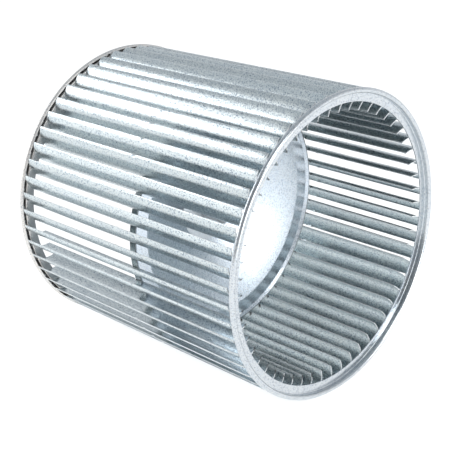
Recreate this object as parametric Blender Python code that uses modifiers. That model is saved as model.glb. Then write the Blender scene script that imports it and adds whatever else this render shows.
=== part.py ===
"""Double-inlet blower wheel (squirrel-cage impeller), pressed from galvanised sheet steel.

The wheel spins about the world Y axis, with its centre at the origin.
The near end ring is at -Y, and the centre disc is dished towards +Y.
All lengths are metres.
"""
import math

import bmesh
import bpy

# ---------------------------------------------------------------- driving dimensions
WHEEL_DIAMETER = 0.2690        # over the rolled rims (10-5/8 in class)
WHEEL_WIDTH = 0.2660           # over both rolled rims
BLADE_COUNT = 54
SHAFT_BORE = 0.0127            # 1/2 in shaft
GAP = 0.0003                   # clearance left between pieces that touch

RING_SHEET = 0.0008            # end ring sheet thickness
RIM_ROLL_RADIUS = 0.0024       # outside radius of the rolled rim
FLANGE_INNER_RADIUS = 0.1224   # inlet edge of the flat ring flange
FLANGE_DEPTH = 0.0052          # flange face below the crest of the rolled rim
RING_STEPS = 60
ROLL_STEPS = 6

BLADE_SHEET = 0.0006
BLADE_INNER_RADIUS = 0.1145
BLADE_TIP_RADIUS = 0.1340
BLADE_SWEEP = math.radians(6.25)     # tip leads the heel by this angle about the axis
BLADE_TURN = math.radians(86.0)      # how far the blade section curls, heel to tip
BLADE_STEPS = 6
BLADE_PHASE = math.radians(4.25)
BLADE_END_CUT_WIDTH = 0.0072         # heel corners are sheared off over this radius
BLADE_END_CUT_DEPTH = 0.0020
BLADE_TIP_CUT = 0.0008               # tip corners are nipped off at 45 degrees
BAND_NOTCH_HALF_WIDTH = 0.0044       # notch in each heel that the centre band sits in

DISC_SHEET = 0.0012
DISC_FACE = 0.0010             # near face of the flat band, measured towards the near end
DISC_PLATEAU = -0.0223         # near face of the hub plateau, on the same scale
PLATEAU_RADIUS = 0.0333
DISH_RADIUS = 0.0992           # crease where the cone meets the flat band
BAND_HALF_WIDTH = 0.0034       # half the width of the band round the disc
BAND_SHEET = 0.0008
DISC_HOLE_RADIUS = 0.0098

HUB_RADIUS = 0.0127            # 1 in hub barrel
HUB_NECK_RADIUS = 0.0095
HUB_COLLAR_RADIUS = 0.0120
HUB_NEAR_END = -0.0014
HUB_FAR_END = -0.0268
HUB_CHAMFER = 0.0008
BORE_CHAMFER = 0.0006

SCREW_RADIUS = 0.00397         # 5/16 in set screw
SCREW_LENGTH = 0.0095
SCREW_TIP_RADIUS = 0.0065      # distance of the screw point from the wheel axis
SCREW_STATION = -0.0105        # along the hub, on the same scale as the disc faces
SOCKET_ACROSS_FLATS = 0.00397
SOCKET_DEPTH = 0.0040

GALVANISED = ((0.62, 0.65, 0.68, 1.0), 0.34, 1.0)
MACHINED = ((0.50, 0.50, 0.50, 1.0), 0.28, 1.0)
BLACK_OXIDE = ((0.035, 0.035, 0.038, 1.0), 0.42, 1.0)

# ---------------------------------------------------------------- derived dimensions
RIM_RADIUS = WHEEL_DIAMETER / 2
HALF_WIDTH = WHEEL_WIDTH / 2
FLANGE_FACE = HALF_WIDTH - FLANGE_DEPTH
BLADE_HALF_LENGTH = FLANGE_FACE - RING_SHEET - GAP
BAND_NOTCH_RADIUS = BLADE_INNER_RADIUS + BAND_SHEET + GAP
DISC_RADIUS = BLADE_INNER_RADIUS - GAP


def clear_scene():
    """Remove whatever the file opens with."""
    for item in list(bpy.data.objects):
        bpy.data.objects.remove(item, do_unlink=True)


def new_collection(name):
    """Make a collection and link it to the scene."""
    collection = bpy.data.collections.new(name)
    bpy.context.scene.collection.children.link(collection)
    return collection


def new_material(name, look):
    """A Principled material from a (colour, roughness, metallic) triple."""
    colour, roughness, metallic = look
    material = bpy.data.materials.new(name)
    material.use_nodes = True
    shader = material.node_tree.nodes["Principled BSDF"]
    shader.inputs["Base Color"].default_value = colour
    shader.inputs["Roughness"].default_value = roughness
    shader.inputs["Metallic"].default_value = metallic
    material.diffuse_color = colour
    return material


def shade(mesh, angle=30.0):
    """Smooth shading that keeps edges sharper than the angle crisp."""
    mesh.shade_smooth()
    mesh.set_sharp_from_angle(angle=math.radians(angle))


def place(mesh, name, collection, look=None):
    """Wrap a mesh in an object, with its own material."""
    piece = bpy.data.objects.new(name, mesh)
    collection.objects.link(piece)
    if look:
        piece.data.materials.append(new_material(name + "_steel", look))
    return piece


def arc(centre, radius, start, end, steps):
    """Points on an arc in degrees, from start to end, both included."""
    points = []
    for index in range(steps + 1):
        angle = math.radians(start + (end - start) * index / steps)
        points.append((centre[0] + radius * math.cos(angle),
                       centre[1] + radius * math.sin(angle)))
    return points


def sheet_outline(path, thickness):
    """Closed outline of a sheet of even thickness laid along a mid-line path."""
    left = []
    right = []
    last = len(path) - 1
    half = thickness / 2
    for index, (x, y) in enumerate(path):
        before = path[max(index - 1, 0)]
        after = path[min(index + 1, last)]
        along_in = unit(x - before[0], y - before[1])
        along_out = unit(after[0] - x, after[1] - y)
        tangent = unit(along_in[0] + along_out[0], along_in[1] + along_out[1])
        left.append((x - tangent[1] * half, y + tangent[0] * half))
        right.append((x + tangent[1] * half, y - tangent[0] * half))
    return left + right[::-1]


def unit(x, y):
    """A 2D vector of length one."""
    length = math.hypot(x, y)
    if length == 0.0:
        return (0.0, 0.0)
    return (x / length, y / length)


def clockwise(outline):
    """The outline ordered so that its outer side runs from top to bottom."""
    area = 0.0
    for index, (x, y) in enumerate(outline):
        next_x, next_y = outline[(index + 1) % len(outline)]
        area += x * next_y - next_x * y
    return outline[::-1] if area > 0.0 else outline


def turned(name, outline, steps, collection, look=None):
    """Revolve a closed (radius, height) outline about local Z."""
    mesh = bpy.data.meshes.new(name)
    work = bmesh.new()
    loop = [work.verts.new((x, 0.0, z)) for x, z in clockwise(outline)]
    for index, vert in enumerate(loop):
        work.edges.new((vert, loop[(index + 1) % len(loop)]))
    work.to_mesh(mesh)
    work.free()
    piece = place(mesh, name, collection, look)
    screw = piece.modifiers.new("Turn", "SCREW")
    screw.axis = "Z"
    screw.angle = math.radians(360.0)
    screw.steps = steps
    screw.render_steps = steps
    screw.use_merge_vertices = True
    screw.merge_threshold = 0.00001
    screw.use_smooth_shade = True
    return piece


def face_near_end(piece):
    """Turn local +Z to the near end of the wheel, which is world -Y."""
    piece.rotation_euler = (math.radians(90.0), 0.0, 0.0)


def apply_shape(piece, angle=30.0):
    """Swap the piece's mesh for its evaluated one, welded and shaded."""
    bpy.context.view_layer.update()
    graph = bpy.context.evaluated_depsgraph_get()
    mesh = bpy.data.meshes.new_from_object(piece.evaluated_get(graph))
    work = bmesh.new()
    work.from_mesh(mesh)
    bmesh.ops.remove_doubles(work, verts=work.verts, dist=0.000001)
    bmesh.ops.dissolve_degenerate(work, edges=work.edges, dist=0.000001)
    bmesh.ops.recalc_face_normals(work, faces=work.faces)
    work.to_mesh(mesh)
    work.free()
    piece.modifiers.clear()
    piece.data = mesh
    shade(mesh, angle)
    return piece


def cut(piece, cutter):
    """Subtract a cutter that stays in the file as a hidden guide."""
    cutter.hide_render = True
    cutter.display_type = "WIRE"
    boolean = piece.modifiers.new("Cut " + cutter.name, "BOOLEAN")
    boolean.operation = "DIFFERENCE"
    boolean.solver = "EXACT"
    boolean.object = cutter


def extruded(name, outline, half_length, collection, look=None):
    """A flat outline in (x, y) extruded both ways along local Z, as a closed mesh."""
    curve = bpy.data.curves.new(name + "_outline", "CURVE")
    curve.dimensions = "2D"
    curve.fill_mode = "BOTH"
    curve.extrude = half_length
    spline = curve.splines.new("POLY")
    spline.points.add(len(outline) - 1)
    for point, (x, y) in zip(spline.points, outline):
        point.co = (x, y, 0.0, 1.0)
    spline.use_cyclic_u = True
    guide = bpy.data.objects.new(name + "_outline", curve)
    collection.objects.link(guide)
    graph = bpy.context.evaluated_depsgraph_get()
    mesh = bpy.data.meshes.new_from_object(guide.evaluated_get(graph))
    bpy.data.objects.remove(guide, do_unlink=True)
    bpy.data.curves.remove(curve)
    work = bmesh.new()
    work.from_mesh(mesh)
    bmesh.ops.remove_doubles(work, verts=work.verts, dist=0.000001)
    bmesh.ops.recalc_face_normals(work, faces=work.faces)
    work.to_mesh(mesh)
    work.free()
    mesh.name = name
    return place(mesh, name, collection, look)


# ---------------------------------------------------------------- blade section
def blade_ends():
    """Heel and tip of the blade mid-line, with the tip swept clockwise."""
    heel = (BLADE_INNER_RADIUS, 0.0)
    tip = (BLADE_TIP_RADIUS * math.cos(-BLADE_SWEEP),
           BLADE_TIP_RADIUS * math.sin(-BLADE_SWEEP))
    return heel, tip


def blade_arc():
    """Centre, radius and end angles of the blade mid-line."""
    heel, tip = blade_ends()
    chord = math.dist(heel, tip)
    radius = 0.5 * chord / math.sin(0.5 * BLADE_TURN)
    depth = 0.5 * chord / math.tan(0.5 * BLADE_TURN)
    middle = (0.5 * (heel[0] + tip[0]), 0.5 * (heel[1] + tip[1]))
    along = unit(tip[0] - heel[0], tip[1] - heel[1])
    centre = (middle[0] + along[1] * depth, middle[1] - along[0] * depth)
    start = math.atan2(heel[1] - centre[1], heel[0] - centre[0])
    end = math.atan2(tip[1] - centre[1], tip[0] - centre[0])
    return centre, radius, start, end


def blade_point(along, offset):
    """A point at a fraction along the mid-line, offset to the outer (convex) side."""
    centre, radius, start, end = blade_arc()
    angle = start + (end - start) * along
    reach = radius + offset
    return (centre[0] + reach * math.cos(angle), centre[1] + reach * math.sin(angle))


def blade_section(first, last, low, high, steps):
    """Closed outline between two offsets and two fractions of the mid-line."""
    fractions = [first + (last - first) * index / steps for index in range(steps + 1)]
    outer = [blade_point(fraction, high) for fraction in fractions]
    inner = [blade_point(fraction, low) for fraction in fractions]
    return outer + inner[::-1]


def build_blades(parts, cutters):
    """Roll one blade, trim it with turned cutters, and set it round the wheel."""
    half = BLADE_SHEET / 2
    blank = extruded("blade_blank", blade_section(-0.08, 1.08, -half, half, BLADE_STEPS + 1),
                     BLADE_HALF_LENGTH, cutters)
    end = BLADE_HALF_LENGTH
    over = 0.002
    heel = BLADE_INNER_RADIUS
    core = [(0.09, end + over), (heel + BLADE_END_CUT_WIDTH * 2, end + over)]
    core += [(heel + BLADE_END_CUT_WIDTH, end), (heel, end - BLADE_END_CUT_DEPTH)]
    core += [(heel, BAND_NOTCH_HALF_WIDTH), (BAND_NOTCH_RADIUS, BAND_NOTCH_HALF_WIDTH)]
    core += [(x, -z) for x, z in core[::-1]]
    tip = BLADE_TIP_RADIUS
    shell = [(tip + 0.01, end + over), (tip - BLADE_TIP_CUT - over, end + over)]
    shell += [(tip - BLADE_TIP_CUT, end), (tip, end - BLADE_TIP_CUT)]
    shell += [(x, -z) for x, z in shell[::-1]]
    for name, outline in (("heel_trim", core), ("tip_trim", shell)):
        trimmer = turned(name, outline, 360, cutters)
        cut(blank, trimmer)
    apply_shape(blank)
    mesh = blank.data
    bpy.data.objects.remove(blank, do_unlink=True)
    mesh.name = "blade"
    mesh.materials.append(new_material("blade_steel", GALVANISED))
    for index in range(BLADE_COUNT):
        blade = bpy.data.objects.new("blade_%02d" % (index + 1), mesh)
        parts.objects.link(blade)
        spin = BLADE_PHASE + index * 2 * math.pi / BLADE_COUNT
        blade.rotation_euler = (math.radians(90.0), -spin, 0.0)


# ---------------------------------------------------------------- rings, disc and hub
def ring_path():
    """Mid-line of the end ring sheet: flat flange, bend, then the rolled rim."""
    half = RING_SHEET / 2
    roll = RIM_ROLL_RADIUS - half
    centre = (RIM_RADIUS - RIM_ROLL_RADIUS, HALF_WIDTH - RIM_ROLL_RADIUS)
    flange = FLANGE_FACE - half
    bend = 0.0010
    wall = centre[0] - roll
    path = [(FLANGE_INNER_RADIUS, flange)]
    path += arc((wall - bend, flange + bend), bend, -90.0, 0.0, 2)
    path += arc(centre, roll, 180.0, -90.0, ROLL_STEPS)
    return path


def build_end_rings(parts):
    """Two equal end rings, one turned over."""
    outline = sheet_outline(ring_path(), RING_SHEET)
    near = turned("near_end_ring", outline, RING_STEPS, parts, GALVANISED)
    face_near_end(near)
    far = turned("far_end_ring", outline, RING_STEPS, parts, GALVANISED)
    far.rotation_euler = (math.radians(-90.0), 0.0, 0.0)


def build_center_disc(parts):
    """Dished disc with a flat band round its edge."""
    face = DISC_FACE
    back = face - DISC_SHEET
    slope = math.atan2(face - DISC_PLATEAU, DISH_RADIUS - PLATEAU_RADIUS)
    shift = DISC_SHEET * math.tan(slope / 2)
    outline = [(DISC_HOLE_RADIUS, DISC_PLATEAU), (PLATEAU_RADIUS, DISC_PLATEAU)]
    outline += [(DISH_RADIUS, face), (DISC_RADIUS, face), (DISC_RADIUS, back)]
    outline += [(DISH_RADIUS + shift, back)]
    outline += [(PLATEAU_RADIUS + shift, DISC_PLATEAU - DISC_SHEET)]
    outline += [(DISC_HOLE_RADIUS, DISC_PLATEAU - DISC_SHEET)]
    disc = turned("center_disc", outline, RING_STEPS, parts, GALVANISED)
    face_near_end(disc)


def build_center_band(parts):
    """Cylindrical band round the disc, standing in the notches of the blades."""
    inner = BLADE_INNER_RADIUS
    outer = inner + BAND_SHEET
    half = BAND_HALF_WIDTH
    outline = [(inner, half), (outer, half), (outer, -half), (inner, -half)]
    band = turned("center_band", outline, RING_STEPS, parts, GALVANISED)
    face_near_end(band)


def build_hub(parts, cutters):
    """Turned hub, grooved where the disc is swaged in, bored and cross-drilled."""
    bore = SHAFT_BORE / 2
    groove_top = DISC_PLATEAU + GAP
    groove_bottom = DISC_PLATEAU - DISC_SHEET - GAP
    outline = [(HUB_RADIUS - HUB_CHAMFER, HUB_NEAR_END), (HUB_RADIUS, HUB_NEAR_END - HUB_CHAMFER)]
    outline += [(HUB_RADIUS, groove_top), (HUB_NECK_RADIUS, groove_top)]
    outline += [(HUB_NECK_RADIUS, groove_bottom), (HUB_COLLAR_RADIUS, groove_bottom)]
    outline += [(HUB_COLLAR_RADIUS, HUB_FAR_END + HUB_CHAMFER)]
    outline += [(HUB_COLLAR_RADIUS - HUB_CHAMFER, HUB_FAR_END)]
    outline += [(bore + BORE_CHAMFER, HUB_FAR_END), (bore, HUB_FAR_END + BORE_CHAMFER)]
    outline += [(bore, HUB_NEAR_END - BORE_CHAMFER), (bore + BORE_CHAMFER, HUB_NEAR_END)]
    hub = turned("hub", outline, 40, parts, MACHINED)
    face_near_end(hub)
    bpy.ops.mesh.primitive_cylinder_add(vertices=20, radius=SCREW_RADIUS + GAP,
                                        depth=HUB_RADIUS * 2,
                                        location=(0.0, -SCREW_STATION, HUB_RADIUS))
    drill = bpy.context.object
    drill.name = "set_screw_hole"
    move_to(drill, cutters)
    cut(hub, drill)
    apply_shape(hub)


def move_to(piece, collection):
    """Take an object out of its collections and put it in one."""
    for owner in list(piece.users_collection):
        owner.objects.unlink(piece)
    collection.objects.link(piece)


def build_set_screw(parts, cutters):
    """Cup-point socket set screw, standing radially in the hub."""
    radius = SCREW_RADIUS
    length = SCREW_LENGTH
    chamfer = 0.0006
    cup = 0.0020
    outline = [(0.0, length), (radius - chamfer, length), (radius, length - chamfer)]
    outline += [(radius, 0.0010), (radius - 0.0010, 0.0), (cup, 0.0), (0.0, 0.0009)]
    mesh = bpy.data.meshes.new("set_screw")
    work = bmesh.new()
    chain = [work.verts.new((x, 0.0, z)) for x, z in outline]
    for start, end in zip(chain, chain[1:]):
        work.edges.new((start, end))
    work.to_mesh(mesh)
    work.free()
    screw = place(mesh, "set_screw", parts, BLACK_OXIDE)
    turn = screw.modifiers.new("Turn", "SCREW")
    turn.axis = "Z"
    turn.angle = math.radians(360.0)
    turn.steps = 20
    turn.render_steps = 20
    turn.use_merge_vertices = True
    turn.merge_threshold = 0.00001
    turn.use_smooth_shade = True
    screw.location = (0.0, -SCREW_STATION, SCREW_TIP_RADIUS)
    across_corners = SOCKET_ACROSS_FLATS / math.cos(math.radians(30.0))
    top = SCREW_TIP_RADIUS + length
    bpy.ops.mesh.primitive_cylinder_add(vertices=6, radius=across_corners / 2,
                                        depth=SOCKET_DEPTH * 2,
                                        location=(0.0, -SCREW_STATION, top))
    socket = bpy.context.object
    socket.name = "hex_socket"
    move_to(socket, cutters)
    cut(screw, socket)
    apply_shape(screw)


def build():
    """Model the whole wheel."""
    clear_scene()
    parts = new_collection("blower_motor_wheel")
    cutters = new_collection("cutters")
    build_end_rings(parts)
    build_center_disc(parts)
    build_center_band(parts)
    build_blades(parts, cutters)
    build_hub(parts, cutters)
    build_set_screw(parts, cutters)


build()
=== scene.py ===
"""Looks for the galvanised blower wheel: fine sheet-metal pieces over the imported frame.

The wheel spins about Y. The near end is at -Y, and the disc is dished towards +Y.
All lengths are metres. A radius is measured from the wheel's axis, and a depth along it.
"""
import math
import random

import bmesh
import bpy
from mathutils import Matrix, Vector


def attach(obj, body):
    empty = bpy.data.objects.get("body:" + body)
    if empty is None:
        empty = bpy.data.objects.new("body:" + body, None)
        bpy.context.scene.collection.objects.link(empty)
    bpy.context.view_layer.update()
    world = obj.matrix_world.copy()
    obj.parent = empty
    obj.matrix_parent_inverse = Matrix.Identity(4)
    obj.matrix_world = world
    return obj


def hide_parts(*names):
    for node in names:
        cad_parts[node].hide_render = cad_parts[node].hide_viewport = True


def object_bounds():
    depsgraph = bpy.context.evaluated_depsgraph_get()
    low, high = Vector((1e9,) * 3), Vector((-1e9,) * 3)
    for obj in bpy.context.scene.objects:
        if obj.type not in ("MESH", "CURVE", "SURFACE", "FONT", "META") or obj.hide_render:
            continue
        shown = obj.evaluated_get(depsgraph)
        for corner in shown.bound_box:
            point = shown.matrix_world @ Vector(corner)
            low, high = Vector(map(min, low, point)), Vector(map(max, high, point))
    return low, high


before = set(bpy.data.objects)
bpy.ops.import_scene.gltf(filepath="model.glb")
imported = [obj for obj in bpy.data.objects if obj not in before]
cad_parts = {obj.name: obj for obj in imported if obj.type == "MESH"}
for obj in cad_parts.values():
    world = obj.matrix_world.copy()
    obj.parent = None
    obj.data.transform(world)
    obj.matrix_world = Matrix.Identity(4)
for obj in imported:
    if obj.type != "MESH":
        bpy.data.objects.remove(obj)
CAD_BOX = [list(corner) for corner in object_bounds()]
BLADE_NODES = sorted(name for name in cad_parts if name.startswith("blade_"))

# ---------------------------------------------------------------- dimensions
RIM_RADIUS = round(CAD_BOX[1][0], 4)
HALF_WIDTH = round(CAD_BOX[1][1], 4)
GAP = 0.0003                      # clearance that neighbouring pieces keep
HUB_NECK_RADIUS = 0.0095          # the hub's groove, which the disc sits in
TURN_STEPS = 216                  # facets round a ring, the disc or the band
SMOOTH_ANGLE = 32.0               # degrees; a sharper corner is shaded as an edge

# End rings: a flat flange, a bend outwards and a rolled rim
RING_SHEET = 0.0008
ROLL_RADIUS = 0.0024
RING_BEND = 0.0010
ROLL_START = 180.0                # degrees round the roll
ROLL_END = -105.0
FLANGE_INNER_RADIUS = 0.1224
FLANGE_FLAT = 0.0030              # the flange has a point this far from its inner edge
FLANGE_FACE = 0.1278
FAR_HIGHLIGHT_RADIUS = 0.1295          # the far ring is painted pale inside this radius, a painted highlight on its flange
FAR_HIGHLIGHT = 0.8
SHADOW_ROLL_POINTS = 3             # painted shadow lies on the roll's last points, towards the blades

# Blades: an arc from heel to tip, trimmed at both ends
BLADE_SHEET = 0.0006
HEEL_RADIUS = 0.1145
TIP_INSET = 0.0006                # the tips stop this far inside the rims
TIP_RADIUS = RIM_RADIUS - TIP_INSET
SWEEP = math.radians(6.25)        # how far the heel is behind the tip, round the wheel
TURN = math.radians(86.0)         # how far the blade curls
PHASE = math.radians(4.25)        # place of the first blade's heel
BLADE_END = FLANGE_FACE - RING_SHEET - GAP
END_CUT_WIDTH = 0.0072            # heel corners are sheared off over this radius
END_CUT_DEPTH = 0.0020
SQUEEZE_START = 0.9               # from this share of the half length on, a blade is squeezed to fit

# How each blade differs from the next
BLADE_SEED = 100
BOW = 0.000198                    # most that a blade bows
WAVE = (0.000036, 0.000108)       # least and most height of the waves along it
WAVES_ALONG = 9.0
WAVES_ACROSS = 3.0
END_FADE = 0.125                  # bow and waves fade over this last share of the half length
DIMPLE = (0.0003, 0.0009)         # least and most depth of the mark pressed in the tip edge
DIMPLE_HALF = 0.0024
DIMPLE_START = 0.9                # share of the arc where the mark starts
TIP_DROP = 0.00035                # how far the tip edge curls in
NEAR_END_DROP = 0.0006            # how far the near end sinks
DROP_START = 0.93                 # share of the arc, or of the half length, where they start

# Centre disc and band
BAND_SHEET = 0.0008
BAND_HALF = 0.0034
BAND_BEVEL = 0.0002
NOTCH_HALF = 0.0047               # the notch in a blade's heel, which the band stands in
NOTCH_RADIUS = HEEL_RADIUS + BAND_SHEET + GAP
DISC_SHEET = 0.0012
DISC_FACE = -0.0010               # near face of the disc's flat outer part
DISC_RADIUS = HEEL_RADIUS - GAP
DISC_HOLE = HUB_NECK_RADIUS + GAP
DISH_RADIUS = 0.0992              # the dish starts here
DISH_STEPS = 12
PLATEAU_RADIUS = 0.0333           # the dish ends here
PLATEAU_FACE = 0.0223
# the plateau's near face is painted pale: a painted highlight
PLATEAU_HIGHLIGHT = 0.4
CREASE_SOFTNESS = 0.0004
CORNER_WIDTH = 0.0023             # the sloping corner between the disc and the band
CORNER_LEAD = 0.0003              # the flat part turns into the slope over this width
CORNER_DROP = 0.0001              # the slope's ends lie this far from the flat part and the band's edge
BACK_INSET = 0.0002
DISC_SMOOTH_ANGLE = 7.0

# Where a blade has points along Y
INSIDE_NOTCH = (0.0, 0.0012, 0.0024, NOTCH_HALF)
PAST_NOTCH = (0.0004, 0.0013, 0.0020)          # this far past the notch
END_INSETS = (0.0036, 0.0022, 0.0010, 0.0)     # this far from the end
BLADE_STEPS = 22                               # even steps between notch and end
HAIR = 0.0001                                  # slack in telling one of these from the next

# Marks on the blades: how pale the cut edges and painted highlights are, from 0 to 1, and where painted
# shadow lies
# Cut edges are bare steel made pale, partly a painted highlight; the heel's next row of points is a
# painted highlight only
END_PALE = 0.7
HEEL_PALE = (0.8, 0.2)            # the heel's edge, and the next row of points
TIP_PALE = 0.6
SHADOW_ROWS = 3                    # rows of points that can carry painted shadow, from the heel
NOTCH_SHADOW_REACH = 0.0014         # how far past the notch it lies
NOTCH_SHADOW_SIDE = -0.2                  # a blade whose direction has a higher cosine has its painted shadow at the notch, the others at the ends

# Zinc coat. Scales are per metre.
CRYSTAL_SCALE = 1900.0
CLOUD_SCALE = 38.0
CLOUD_SHARE = 0.35
GRAIN_SCALE = (900.0, 30.0, 900.0)
GRAIN_SHARE = 0.20
PATTERN_RANGE = (0.25, 0.75)      # the part of the pattern that colour and roughness use
TONE_SWING = 0.30
COOL_TINT = (0.96, 1.0, 1.05)
WARM_TINT = (1.04, 1.0, 0.95)
SPECK_SCALE = 950.0
SPECK_RANGE = (0.57, 0.64)
SPECK_TINT = (0.20, 0.26, 0.36)
TONE_AND_SHADE_SWING = 0.10
# Painted shadow: near-black lines in the gaps at the notches and by the rings, broken up by noise
SHADOW_BREAK_SCALE = 300.0
SHADOW_BREAK_RANGE = (0.36, 0.46)
PAINTED_SHADOW_COLOUR = (0.012, 0.012, 0.014, 1.0)
# Bare steel of the cut edges, also the pale colour of the painted highlights
BARE_AND_HIGHLIGHT_COLOUR = (0.95, 0.96, 0.96, 1.0)
BARE_ROUGHNESS = 0.75
BARE_METALLIC = 0.25
ROUGH_SWING = (-0.08, 0.10)

# Turned steel
LATHE_CLOUD_SCALE = 240.0
LATHE_TONES = (0.78, 1.15)
LATHE_ROUGH_SWING = (-0.05, 0.12)


# ---------------------------------------------------------------- node helpers
class Graph:
    """Short calls for building a node tree. A value is a constant or another node's output."""

    def __init__(self, tree):
        self.nodes = tree.nodes
        self.links = tree.links

    def feed(self, socket, value):
        if isinstance(value, bpy.types.NodeSocket):
            self.links.new(value, socket)
        else:
            socket.default_value = value

    def add(self, kind, inputs, **settings):
        """Add a node, change its settings and then fill its inputs."""
        node = self.nodes.new("ShaderNode" + kind)
        for name, value in settings.items():
            setattr(node, name, value)
        for name, value in inputs.items():
            self.feed(node.inputs[name], value)
        return node

    def mix(self, factor, a, b):
        """Blend two numbers."""
        inputs = {"Factor": factor, "A": a, "B": b}
        return self.add("Mix", inputs, data_type="FLOAT").outputs["Result"]

    def mix_colours(self, factor, a, b):
        """Blend two colours. A Mix node's colour sockets are numbers 6 and 7, and its output 2."""
        return self.add("Mix", {0: factor, 6: a, 7: b}, data_type="RGBA").outputs[2]

    def remap(self, value, span, low=0.0, high=1.0):
        """Map a span of values onto low to high."""
        inputs = {"Value": value, "From Min": span[0], "From Max": span[1],
                  "To Min": low, "To Max": high}
        return self.add("MapRange", inputs).outputs["Result"]

    def multiply(self, a, b):
        return self.add("Math", {0: a, 1: b}, operation="MULTIPLY").outputs["Value"]

    def vector(self, operation, inputs):
        return self.add("VectorMath", inputs, operation=operation).outputs["Vector"]

    def noise(self, place, scale, detail):
        inputs = {"Vector": place, "Scale": scale, "Detail": detail}
        return self.add("TexNoise", inputs).outputs["Fac"]

    def attribute(self, name):
        """A number kept at the mesh's vertices, 0 on a mesh without it."""
        return self.add("Attribute", {}, attribute_name=name).outputs["Fac"]

    def ramp(self, factor, stops):
        """Colour ramp through (position, colour) stops."""
        node = self.add("ValToRGB", {"Fac": factor})
        elements = node.color_ramp.elements
        for element, (position, colour) in zip((elements[0], elements[1]), (stops[0], stops[-1])):
            element.position = position
            element.color = (*colour, 1.0)
        for position, colour in stops[1:-1]:
            elements.new(position).color = (*colour, 1.0)
        return node.outputs["Color"]


def new_metal(name, tone):
    """A metallic material, with its graph, its shader and the object's own coordinates."""
    material = bpy.data.materials.new(name)
    material.use_nodes = True
    material.diffuse_color = (*tone, 1.0)
    graph = Graph(material.node_tree)
    shader = graph.nodes["Principled BSDF"].inputs
    shader["Metallic"].default_value = 1.0
    place = graph.add("TexCoord", {}).outputs["Object"]
    return material, graph, shader, place


# ---------------------------------------------------------------- materials
def zinc_colour(graph, place, pattern, sheared, tone, contrast, pepper):
    """Cool shade to warm highlight, with dark specks, pale cut edges, painted highlights and black
    painted shadow.
    """
    shade = 1.0 - TONE_SWING * contrast
    shine = 1.0 + TONE_SWING * contrast
    low = [c * shade * tint for c, tint in zip(tone, COOL_TINT)]
    high = [min(1.0, c * shine * tint) for c, tint in zip(tone, WARM_TINT)]
    colour = graph.ramp(pattern, ((PATTERN_RANGE[0], low), (PATTERN_RANGE[1], high)))
    specks = graph.remap(graph.noise(place, SPECK_SCALE, detail=1.0), SPECK_RANGE, high=pepper)
    dark = [c * tint for c, tint in zip(tone, SPECK_TINT)]
    colour = graph.mix_colours(specks, colour, (*dark, 1.0))
    # pale bare cut edges, and painted highlights
    colour = graph.mix_colours(sheared, colour, BARE_AND_HIGHLIGHT_COLOUR)
    # each blade's tone: random, and alternately lighter and darker as painted shade
    batch = graph.remap(graph.attribute("batch"), (-1.0, 1.0), 1.0 - TONE_AND_SHADE_SWING, 1.0 + TONE_AND_SHADE_SWING)
    colour = graph.vector("SCALE", {0: colour, "Scale": batch})
    # painted shadow: near-black along the marked gaps, broken into patches by noise
    shadow_breaks = graph.remap(graph.noise(place, SHADOW_BREAK_SCALE, detail=2.0), SHADOW_BREAK_RANGE)
    shadow_mask = graph.multiply(graph.attribute("grime"), shadow_breaks)
    return graph.mix_colours(shadow_mask, colour, PAINTED_SHADOW_COLOUR)


def zinc_normal(graph, crystals, grain, facet):
    """Each crystal is tilted its own way, and the rolling grain is a fine bump."""
    centred = graph.vector("SUBTRACT", {0: crystals, 1: (0.5, 0.5, 0.5)})
    tilt = graph.vector("SCALE", {0: centred, "Scale": facet})
    straight = graph.add("NewGeometry", {}).outputs["Normal"]
    tilted = graph.vector("ADD", {0: straight, 1: tilt})
    normal = graph.vector("NORMALIZE", {0: tilted})
    inputs = {"Height": grain, "Normal": normal, "Strength": 0.08, "Distance": 0.0004}
    return graph.add("Bump", inputs).outputs["Normal"]


def galvanised(name, tone, rough, facet, contrast, pepper):
    """Zinc-coated sheet: tilted crystals, cloudy tone, faint rolling grain and fine dark specks, with
    pale cut edges, painted highlights and painted shadow.
    """
    material, graph, shader, place = new_metal(name, tone)
    crystals = graph.add("TexVoronoi", {"Vector": place, "Scale": CRYSTAL_SCALE}).outputs["Color"]
    grey = graph.add("RGBToBW", {"Color": crystals}).outputs["Val"]
    clouds = graph.noise(place, CLOUD_SCALE, detail=4.0)
    drawn_out = graph.add("Mapping", {"Vector": place, "Scale": GRAIN_SCALE}).outputs["Vector"]
    grain = graph.noise(drawn_out, 1.0, detail=3.0)
    pattern = graph.mix(GRAIN_SHARE, graph.mix(CLOUD_SHARE, grey, clouds), grain)
    sheared = graph.attribute("sheared")
    colour = zinc_colour(graph, place, pattern, sheared, tone, contrast, pepper)
    rough_ends = [rough + swing for swing in ROUGH_SWING]
    coat_rough = graph.remap(pattern, PATTERN_RANGE, *rough_ends)
    graph.feed(shader["Base Color"], colour)
    graph.feed(shader["Roughness"], graph.mix(sheared, coat_rough, BARE_ROUGHNESS))
    graph.feed(shader["Metallic"], graph.remap(sheared, (0.0, 1.0), 1.0, BARE_METALLIC))
    graph.feed(shader["Normal"], zinc_normal(graph, crystals, grain, facet))
    return material


def turned_steel(name, tone, rough, ring_scale):
    """Lathe-turned steel with fine tool rings and cloudy tone."""
    material, graph, shader, place = new_metal(name, tone)
    clouds = graph.noise(place, LATHE_CLOUD_SCALE, detail=5.0)
    wave = {"Vector": place, "Scale": ring_scale, "Distortion": 0.6}
    rings = graph.add("TexWave", wave, wave_type="BANDS", bands_direction="Y").outputs["Fac"]
    low, high = [[min(1.0, c * share) for c in tone] for share in LATHE_TONES]
    rough_ends = [rough + swing for swing in LATHE_ROUGH_SWING]
    bump = {"Height": rings, "Strength": 0.15, "Distance": 0.0002}
    graph.feed(shader["Base Color"], graph.ramp(clouds, ((0.0, low), (1.0, high))))
    graph.feed(shader["Roughness"], graph.remap(clouds, (0.0, 1.0), *rough_ends))
    graph.feed(shader["Normal"], graph.add("Bump", bump).outputs["Normal"])
    return material


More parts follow.
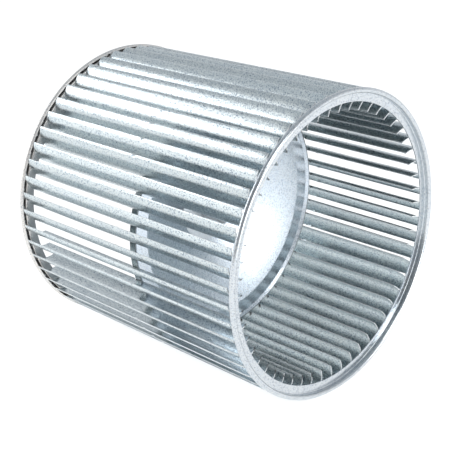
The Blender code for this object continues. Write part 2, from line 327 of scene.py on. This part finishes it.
# ---------------------------------------------------------------- mesh helpers
def new_piece(name, mesh, material, body, node):
    """Make the object, give it its material and hang it on the frame in place of a CAD node."""
    piece = bpy.data.objects.new(name, mesh)
    bpy.context.scene.collection.objects.link(piece)
    mesh.materials.append(material)
    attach(piece, body)
    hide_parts(node)


def finish_mesh(work, name, smooth_angle):
    """Weld, orient and shade a bmesh, and return it as a mesh."""
    bmesh.ops.remove_doubles(work, verts=work.verts, dist=0.000002)
    bmesh.ops.recalc_face_normals(work, faces=work.faces)
    mesh = bpy.data.meshes.new(name)
    work.to_mesh(mesh)
    work.free()
    mesh.shade_smooth()
    mesh.set_sharp_from_angle(angle=math.radians(smooth_angle))
    return mesh


def unit(x, y):
    """The same direction with length 1, or (0, 0)."""
    length = math.hypot(x, y)
    return (x / length, y / length) if length else (0.0, 0.0)


def arc(centre, radius, start, end, steps):
    """Points on an arc in degrees, both ends included."""
    turns = [math.radians(start + (end - start) * i / steps) for i in range(steps + 1)]
    return [(centre[0] + radius * math.cos(a), centre[1] + radius * math.sin(a)) for a in turns]


def sheet_outline(path, thickness):
    """Closed outline of a sheet of even thickness laid along a mid-line path."""
    left, right = [], []
    half = thickness / 2
    for i, (x, y) in enumerate(path):
        before = path[max(i - 1, 0)]
        after = path[min(i + 1, len(path) - 1)]
        way_in = unit(x - before[0], y - before[1])
        way_out = unit(after[0] - x, after[1] - y)
        along = unit(way_in[0] + way_out[0], way_in[1] + way_out[1])
        left.append((x - along[1] * half, y + along[0] * half))
        right.append((x + along[1] * half, y - along[0] * half))
    return left + right[::-1]


def turned(name, outline, side=1, smooth_angle=SMOOTH_ANGLE, **marks):
    """Revolve a closed (radius, depth) outline about Y.

    side is -1 for the near end and 1 for the far one. Each of the marks is a list with a number for
    every point of the outline, and becomes a vertex attribute that the material reads.
    """
    work = bmesh.new()
    layers = {mark: work.verts.layers.float.new(mark) for mark in marks}
    grid = []
    for i in range(TURN_STEPS):
        a = 2 * math.pi * i / TURN_STEPS
        row = [work.verts.new((r * math.cos(a), side * d, r * math.sin(a))) for r, d in outline]
        for mark, values in marks.items():
            for vert, value in zip(row, values):
                vert[layers[mark]] = value
        grid.append(row)
    for i in range(TURN_STEPS):
        a, b = grid[i], grid[(i + 1) % TURN_STEPS]
        for j in range(len(outline)):
            k = (j + 1) % len(outline)
            work.faces.new((a[j], a[k], b[k], b[j]))
    return finish_mesh(work, name, smooth_angle)


# ---------------------------------------------------------------- blades
def blade_arc():
    """Centre, radius and end angles of the blade's mid-line, with its heel on +X."""
    heel = (HEEL_RADIUS, 0.0)
    tip = (TIP_RADIUS * math.cos(-SWEEP), TIP_RADIUS * math.sin(-SWEEP))
    chord = math.dist(heel, tip)
    radius = 0.5 * chord / math.sin(0.5 * TURN)
    depth = 0.5 * chord / math.tan(0.5 * TURN)
    along = unit(tip[0] - heel[0], tip[1] - heel[1])
    centre = (0.5 * (heel[0] + tip[0]) + along[1] * depth,
              0.5 * (heel[1] + tip[1]) - along[0] * depth)
    start = math.atan2(heel[1] - centre[1], heel[0] - centre[0])
    end = math.atan2(tip[1] - centre[1], tip[0] - centre[0])
    return centre, radius, start, end


CENTRE, ARC_RADIUS, ARC_START, ARC_END = blade_arc()


def arc_point(t, offset):
    """Point at a share of the arc from heel to tip, standing off the mid-line by an offset."""
    a = ARC_START + (ARC_END - ARC_START) * t
    reach = ARC_RADIUS + offset
    return (CENTRE[0] + reach * math.cos(a), CENTRE[1] + reach * math.sin(a))


def share_at_radius(radius):
    """Share of the arc at which the mid-line reaches a radius, found by halving."""
    low, high = -0.1, 1.1
    for _ in range(40):
        middle = 0.5 * (low + high)
        if math.hypot(*arc_point(middle, 0.0)) < radius:
            low = middle
        else:
            high = middle
    return 0.5 * (low + high)


NOTCH_SHARE = share_at_radius(NOTCH_RADIUS)


def blade_shares():
    """Shares of the arc at which a blade has points, closer together near heel and tip."""
    return [0.0, 0.018] + [i / 12 for i in range(1, 12)] + [0.960, 0.982, 1.0]


def blade_stations():
    """Places along Y at which a blade has points, closer together at the notch and the ends."""
    past_notch = [NOTCH_HALF + step for step in PAST_NOTCH]
    start = past_notch[0]
    even = [start + i / BLADE_STEPS * (BLADE_END - start) for i in range(1, BLADE_STEPS)]
    far = [*INSIDE_NOTCH, *past_notch, *even, *(BLADE_END - inset for inset in END_INSETS)]
    return [-y for y in far[:0:-1]] + far


def half_length(radius):
    """How far a blade runs from the middle at a given radius: less at its sheared heel."""
    left = max(0.0, 1.0 - max(radius - HEEL_RADIUS, 0.0) / END_CUT_WIDTH)
    return BLADE_END - END_CUT_DEPTH * left


def rise(value, start):
    """0 up to the start, then rising evenly to 1 at 1."""
    return max(0.0, (value - start) / (1.0 - start))


class Blade:
    """One blade's own bow, waves, dimple and tone, drawn at random from its number. The tone's sign
    alternates from blade to blade, as painted light and shade between neighbours.
    """

    def __init__(self, index):
        rng = random.Random(BLADE_SEED + index)
        spin = PHASE + index * 2 * math.pi / len(BLADE_NODES)
        self.cos = math.cos(spin)
        self.sin = math.sin(spin)
        self.bow = rng.uniform(-1, 1) * BOW
        self.wave = rng.uniform(*WAVE)
        self.wave_phase = rng.uniform(0, 6.28)
        self.dimple = rng.uniform(*DIMPLE)
        # random size of tone, with its sign alternating from blade to blade: partly random tone, partly
        # painted light and shade
        self.tone = rng.uniform(-0.4, 1.0) * (1 if index % 2 else -1)

    def lift(self, y, t):
        """How far the sheet stands off its true arc."""
        u = y / BLADE_END
        lift = self.bow * (1 - u * u)
        lift += self.wave * math.sin(WAVES_ALONG * u + self.wave_phase + WAVES_ACROSS * t)
        lift *= min(1.0, (1 - abs(u)) / END_FADE) * math.sin(math.pi * t)
        lift -= self.dimple * max(0.0, 1.0 - abs(y) / DIMPLE_HALF) * rise(t, DIMPLE_START)
        return lift - TIP_DROP * rise(t, DROP_START) ** 2 - NEAR_END_DROP * rise(-u, DROP_START) ** 2

    def point(self, share, offset, y):
        """Place of a point, given its share of the arc, its offset and its station along Y."""
        start = NOTCH_SHARE if abs(y) < NOTCH_HALF + HAIR else 0.0
        t = start + (1.0 - start) * share
        x, z = arc_point(t, offset)
        way = unit(x - CENTRE[0], z - CENTRE[1])
        lift = self.lift(y, t)
        x += way[0] * lift
        z += way[1] * lift
        squeezed = SQUEEZE_START * BLADE_END
        if abs(y) > squeezed:
            room = half_length(math.hypot(*arc_point(t, 0.0))) - squeezed
            y = math.copysign(squeezed + (abs(y) - squeezed) / (BLADE_END - squeezed) * room, y)
        return Vector((x * self.cos - z * self.sin, y, x * self.sin + z * self.cos))

    def mark(self, row, y, sheared, grime, batch):
        """Pale cut edges and painted highlights, with painted shadow at the notch on the +X side and at
        the ends on the -X side.
        """
        at_end = abs(y) > BLADE_END - HAIR
        at_notch = NOTCH_HALF - HAIR < abs(y) < NOTCH_HALF + NOTCH_SHADOW_REACH
        for vert in row:
            vert[batch] = self.tone
            vert[sheared] = END_PALE if at_end else 0.0
        if not at_end:
            row[0][sheared], row[1][sheared] = HEEL_PALE
            row[-1][sheared] = TIP_PALE
        # painted shadow in the gap at the notch on one side of the wheel, and in the gap by the rings on
        # the other
        shadowed = at_notch if self.cos > NOTCH_SHADOW_SIDE else at_end
        for vert in row[:SHADOW_ROWS]:
            vert[grime] = 1.0 if shadowed else 0.0


def blade_mesh(name, index):
    """One blade: an outer and an inner face of the sheet, joined along all four edges."""
    blade = Blade(index)
    shares, stations = blade_shares(), blade_stations()
    work = bmesh.new()
    layers = [work.verts.layers.float.new(mark) for mark in ("sheared", "grime", "batch")]
    outer, inner = [], []
    for y in stations:
        for face, offset in ((outer, BLADE_SHEET / 2), (inner, -BLADE_SHEET / 2)):
            row = [work.verts.new(blade.point(share, offset, y)) for share in shares]
            blade.mark(row, y, *layers)
            face.append(row)
    last_row, last_point = len(stations) - 1, len(shares) - 1
    for r in range(last_row):
        for i in range(last_point):
            work.faces.new((outer[r][i], outer[r][i + 1], outer[r + 1][i + 1], outer[r + 1][i]))
            work.faces.new((inner[r][i], inner[r + 1][i], inner[r + 1][i + 1], inner[r][i + 1]))
        for i in (0, last_point):
            work.faces.new((outer[r][i], outer[r + 1][i], inner[r + 1][i], inner[r][i]))
    for r in (0, last_row):
        for i in range(last_point):
            work.faces.new((outer[r][i], outer[r][i + 1], inner[r][i + 1], inner[r][i]))
    return finish_mesh(work, name, SMOOTH_ANGLE)


def build_blades(material):
    for index, node in enumerate(BLADE_NODES):
        mesh = blade_mesh(node + "_sheet", index)
        new_piece(node + "_sheet", mesh, material, "wheel", node)


# ---------------------------------------------------------------- rings, disc and band
def ring_path():
    """Mid-line of a ring's sheet: along the flange, round the bend and round the roll."""
    flange = FLANGE_FACE - RING_SHEET / 2
    roll = ROLL_RADIUS - RING_SHEET / 2
    centre = (RIM_RADIUS - ROLL_RADIUS, HALF_WIDTH - ROLL_RADIUS)
    bend_centre = (centre[0] - roll - RING_BEND, flange + RING_BEND)
    path = [(FLANGE_INNER_RADIUS, flange), (FLANGE_INNER_RADIUS + FLANGE_FLAT, flange)]
    path += arc(bend_centre, RING_BEND, -90.0, 0.0, 5)
    path += arc(centre, roll, ROLL_START, ROLL_END, 24)
    return path


def build_ring(node, side, material):
    path = ring_path()
    outline = sheet_outline(path, RING_SHEET)
    # painted shadow along the roll's edge by the blade ends
    shadow_mask = [0.0] * (len(path) - SHADOW_ROLL_POINTS) + [1.0] * SHADOW_ROLL_POINTS
    # painted highlight: the far ring's flange is painted pale
    pale = [FAR_HIGHLIGHT if side > 0 and r < FAR_HIGHLIGHT_RADIUS else 0.0 for r, _ in outline]
    mesh = turned(node + "_sheet", outline, side, grime=shadow_mask + shadow_mask[::-1], sheared=pale)
    new_piece(node + "_sheet", mesh, material, "wheel", node)


def build_disc(material):
    """The dished pan, whose near face has the smaller depth and whose creases are softened there."""
    drop = PLATEAU_FACE - DISC_FACE
    run = DISH_RADIUS - PLATEAU_RADIUS
    rise = CREASE_SOFTNESS * drop / run
    near = [(DISC_HOLE, PLATEAU_FACE), (PLATEAU_RADIUS - CREASE_SOFTNESS, PLATEAU_FACE),
            (PLATEAU_RADIUS + CREASE_SOFTNESS, PLATEAU_FACE - rise)]
    near += [(PLATEAU_RADIUS + run * i / DISH_STEPS, PLATEAU_FACE - drop * i / DISH_STEPS)
             for i in range(1, DISH_STEPS)]
    near += [(DISH_RADIUS - CREASE_SOFTNESS, DISC_FACE + rise),
             (DISH_RADIUS + CREASE_SOFTNESS, DISC_FACE)]
    near += [(DISC_RADIUS - CORNER_WIDTH - CORNER_LEAD, DISC_FACE),
             (DISC_RADIUS - CORNER_WIDTH, DISC_FACE - CORNER_DROP),
             (DISC_RADIUS, CORNER_DROP - BAND_HALF)]
    back = DISC_FACE + DISC_SHEET
    shift = DISC_SHEET * math.tan(math.atan2(drop, run) / 2)
    far = [(DISC_RADIUS - BACK_INSET, back), (DISH_RADIUS + shift, back),
           (PLATEAU_RADIUS + shift, PLATEAU_FACE + DISC_SHEET), (DISC_HOLE, PLATEAU_FACE + DISC_SHEET)]
    outline = near + far
    # painted highlight on the plateau's near face
    pale = [PLATEAU_HIGHLIGHT if r < PLATEAU_RADIUS and d <= PLATEAU_FACE else 0.0 for r, d in outline]
    mesh = turned("center_disc_sheet", outline, smooth_angle=DISC_SMOOTH_ANGLE, sheared=pale)
    new_piece("center_disc_sheet", mesh, material, "wheel", "center_disc")


def build_band(material):
    """The cylindrical band that stands in the blade notches, with bevelled edges."""
    inner, outer, half, edge = HEEL_RADIUS, HEEL_RADIUS + BAND_SHEET, BAND_HALF, BAND_BEVEL
    outline = [(inner, -half + edge), (inner + edge, -half), (outer - edge, -half),
               (outer, -half + edge), (outer, half - edge), (outer - edge, half),
               (inner + edge, half), (inner, half - edge)]
    mesh = turned("center_band_sheet", outline)
    new_piece("center_band_sheet", mesh, material, "wheel", "center_band")


def dress(node, material):
    """Give a CAD piece that keeps its own shape its material."""
    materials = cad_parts[node].data.materials
    materials.clear()
    materials.append(material)


# ---------------------------------------------------------------- studio
# Name, place, the point it faces, width and height, and power in watts
LIGHTS = (
    ("back_left_key", (-0.98, 1.72, 0.94), (0.0, 0.0, 0.0), (0.7, 0.8), 5.4),
    ("left_fill", (-1.60, 1.30, 0.58), (0.0, 0.0, 0.0), (0.8, 0.5), 4.0),
    ("front_key", (-0.30, -1.40, 1.35), (0.0, -0.05, 0.0), (0.8, 0.5), 6.0),
    ("disc_key", (0.20, -1.30, 0.10), (0.0, 0.0, 0.0), (0.9, 0.5), 4.5),
)
# Height and colour of the sky, from the horizon up
SKY = (
    (0.00, (0.95, 0.95, 0.95)),
    (0.20, (0.9114, 0.93, 0.9672)),
    (0.50, (0.6272, 0.64, 0.6656)),
    (1.00, (0.52, 0.57, 0.61)),
)
SKY_DIM_SIDE = (-0.66, -0.62, 0.42)    # the sky is dimmer towards this side
SKY_DIM = 0.47
SKY_DIM_SPAN = (0.20, 0.90)            # cosines between which it dims
FLOOR_HALF_SIZE = 6.0
FLOOR_GAP = 0.0005                     # the wheel stands this far above it
CAMERA_AZIMUTH = math.radians(-46.49)
CAMERA_ELEVATION = math.radians(20.0)
CAMERA_DISTANCE = 0.954


def area_light(name, place, target, size, power):
    light = bpy.data.lights.new(name, "AREA")
    light.shape = "RECTANGLE"
    light.size, light.size_y = size
    light.energy = power
    lamp = bpy.data.objects.new(name, light)
    lamp.location = place
    way = Vector(target) - Vector(place)
    lamp.rotation_euler = way.to_track_quat("-Z", "Y").to_euler()
    bpy.context.scene.collection.objects.link(lamp)


def build_floor():
    """A plain pale floor that glows evenly."""
    mesh = bpy.data.meshes.new("floor")
    s, z = FLOOR_HALF_SIZE, -RIM_RADIUS - FLOOR_GAP
    mesh.from_pydata([(-s, -s, z), (s, -s, z), (s, s, z), (-s, s, z)], [], [(0, 1, 2, 3)])
    floor = bpy.data.objects.new("floor", mesh)
    bpy.context.scene.collection.objects.link(floor)
    material = bpy.data.materials.new("floor_white")
    material.use_nodes = True
    shader = material.node_tree.nodes["Principled BSDF"].inputs
    shader["Base Color"].default_value = (0.60, 0.60, 0.60, 1.0)
    shader["Roughness"].default_value = 0.9
    shader["Emission Color"].default_value = (1.0, 1.0, 1.0, 1.0)
    shader["Emission Strength"].default_value = 0.75
    mesh.materials.append(material)


def build_world():
    """A grey studio that is lighter towards the horizon and dimmer on one side."""
    world = bpy.data.worlds.new("studio")
    bpy.context.scene.world = world
    world.use_nodes = True
    graph = Graph(world.node_tree)
    background = graph.nodes["Background"].inputs
    way = graph.add("TexCoord", {}).outputs["Generated"]
    height = graph.add("SeparateXYZ", {"Vector": way}).outputs["Z"]
    facing = graph.add("VectorMath", {0: way, 1: SKY_DIM_SIDE}, operation="DOT_PRODUCT")
    graph.feed(background["Color"], graph.ramp(height, SKY))
    dimmed = graph.remap(facing.outputs["Value"], SKY_DIM_SPAN, 1.0, SKY_DIM)
    graph.feed(background["Strength"], dimmed)


def build_camera():
    back = Vector((math.sin(CAMERA_AZIMUTH) * math.cos(CAMERA_ELEVATION),
                   -math.cos(CAMERA_AZIMUTH) * math.cos(CAMERA_ELEVATION),
                   math.sin(CAMERA_ELEVATION)))
    data = bpy.data.cameras.new("camera")
    data.sensor_width = 36.0
    data.lens = 83.3
    data.shift_x = -0.0040
    data.shift_y = -0.0329
    data.clip_start = 0.05
    data.clip_end = 40.0
    camera = bpy.data.objects.new("camera", data)
    camera.location = back * CAMERA_DISTANCE
    camera.rotation_euler = back.to_track_quat("Z", "Y").to_euler()
    bpy.context.scene.collection.objects.link(camera)
    bpy.context.scene.camera = camera


# ---------------------------------------------------------------- build
blade_zinc = galvanised("blade_zinc", (0.665, 0.73, 0.748),
                        rough=0.29, facet=0.06, contrast=0.35, pepper=0.85)
ring_zinc = galvanised("ring_zinc", (0.64, 0.68, 0.71),
                       rough=0.17, facet=0.03, contrast=0.35, pepper=0.45)
# The far ring is a paler, rougher copy of the ring zinc: painted light on the far end.
far_ring_zinc_painted_light = galvanised("far_ring_zinc_painted_light", (0.80, 0.79, 0.77),
                           rough=0.45, facet=0.08, contrast=0.4, pepper=0.4)
disc_zinc = galvanised("disc_zinc", (0.71, 0.785, 0.855),
                       rough=0.30, facet=0.05, contrast=0.30, pepper=0.45)
# The band is a much darker copy of the zinc: painted shade where it sits between the blades.
band_zinc_painted_shade = galvanised("band_zinc_painted_shade", (0.33, 0.36, 0.37),
                       rough=0.30, facet=0.06, contrast=0.4, pepper=0.4)

build_blades(blade_zinc)
build_ring("near_end_ring", -1, ring_zinc)
build_ring("far_end_ring", 1, far_ring_zinc_painted_light)
build_disc(disc_zinc)
build_band(band_zinc_painted_shade)
dress("hub", turned_steel("hub_steel_turned", (0.52, 0.52, 0.53), rough=0.28, ring_scale=900.0))
dress("set_screw", turned_steel("screw_black_oxide", (0.05, 0.05, 0.055), rough=0.40, ring_scale=2200.0))

build_floor()
build_world()
for light in LIGHTS:
    area_light(*light)
build_camera()
bpy.context.scene.view_settings.view_transform = "Standard"
